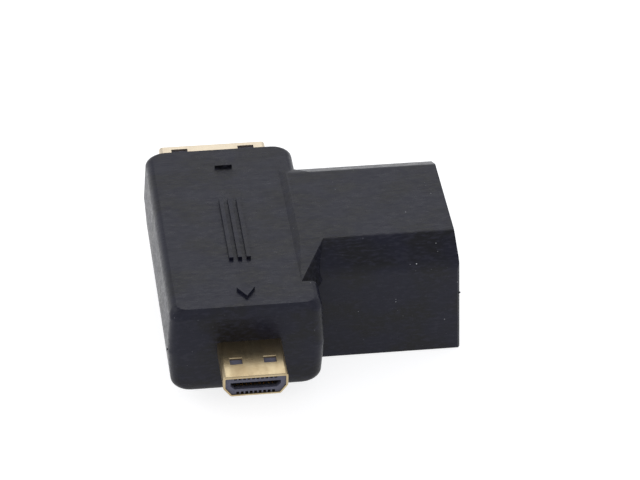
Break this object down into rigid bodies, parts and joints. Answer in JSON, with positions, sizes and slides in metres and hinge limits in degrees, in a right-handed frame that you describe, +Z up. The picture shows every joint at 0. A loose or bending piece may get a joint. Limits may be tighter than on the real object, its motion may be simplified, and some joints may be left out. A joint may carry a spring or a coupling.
{
  "type": "digital video adapter",
  "caption": "T shaped moulded adapter for digital video: a full-size socket in the end of the arm, a micro plug on the front of the bar and a mini plug on its back.",
  "frame": {"origin": "on the plane of the flat underside, under the crossing of the bar's and the arm's middle lines", "axes": "+X along the arm, out of the socket's mouth; +Y along the bar, from the micro plug to the mini plug; +Z up, away from the flat underside"},
  "size_m": [0.0279, 0.0367, 0.0116],
  "materials": {
    "body_black": "fine matt mould texture, slightly glossy at a low angle",
    "inner_ivory": "matt, hidden inside the body",
    "board_green": "solder resist, hidden inside the body",
    "shell_gold": "pale gold flash over stamped sheet, satin, browner near the root",
    "socket_shell_gold": "pale gold flash over stamped sheet, satin",
    "contact_gold": "bright gold over copper alloy",
    "insulator_grey": "blue-grey moulded insulator, slightly glossy",
    "insulator_black": "black moulded insulator, slightly glossy",
    "solder": "bright solder, hidden inside the body"
  },
  "bodies": {
    "root": {"overmould": "body_black", "inner_mould": "inner_ivory", "circuit_board": "board_green", "micro_plug_shell": "shell_gold", "micro_plug_insulator": "insulator_grey", "micro_plug_upper_contacts": "contact_gold", "micro_plug_lower_contacts": "contact_gold", "mini_plug_shell": "shell_gold", "mini_plug_insulator": "insulator_grey", "mini_plug_contacts": "contact_gold", "socket_shell": "socket_shell_gold", "socket_insulator": "insulator_black", "socket_tail_comb": "insulator_black", "socket_upper_contacts": "contact_gold", "socket_lower_contacts": "contact_gold", "micro_plug_solder": "solder", "mini_plug_solder": "solder", "socket_upper_solder": "solder", "socket_lower_solder": "solder", "micro_plug_leg_solder": "solder", "mini_plug_leg_solder": "solder", "socket_tab_solder": "solder"}
  },
  "joints": []
}
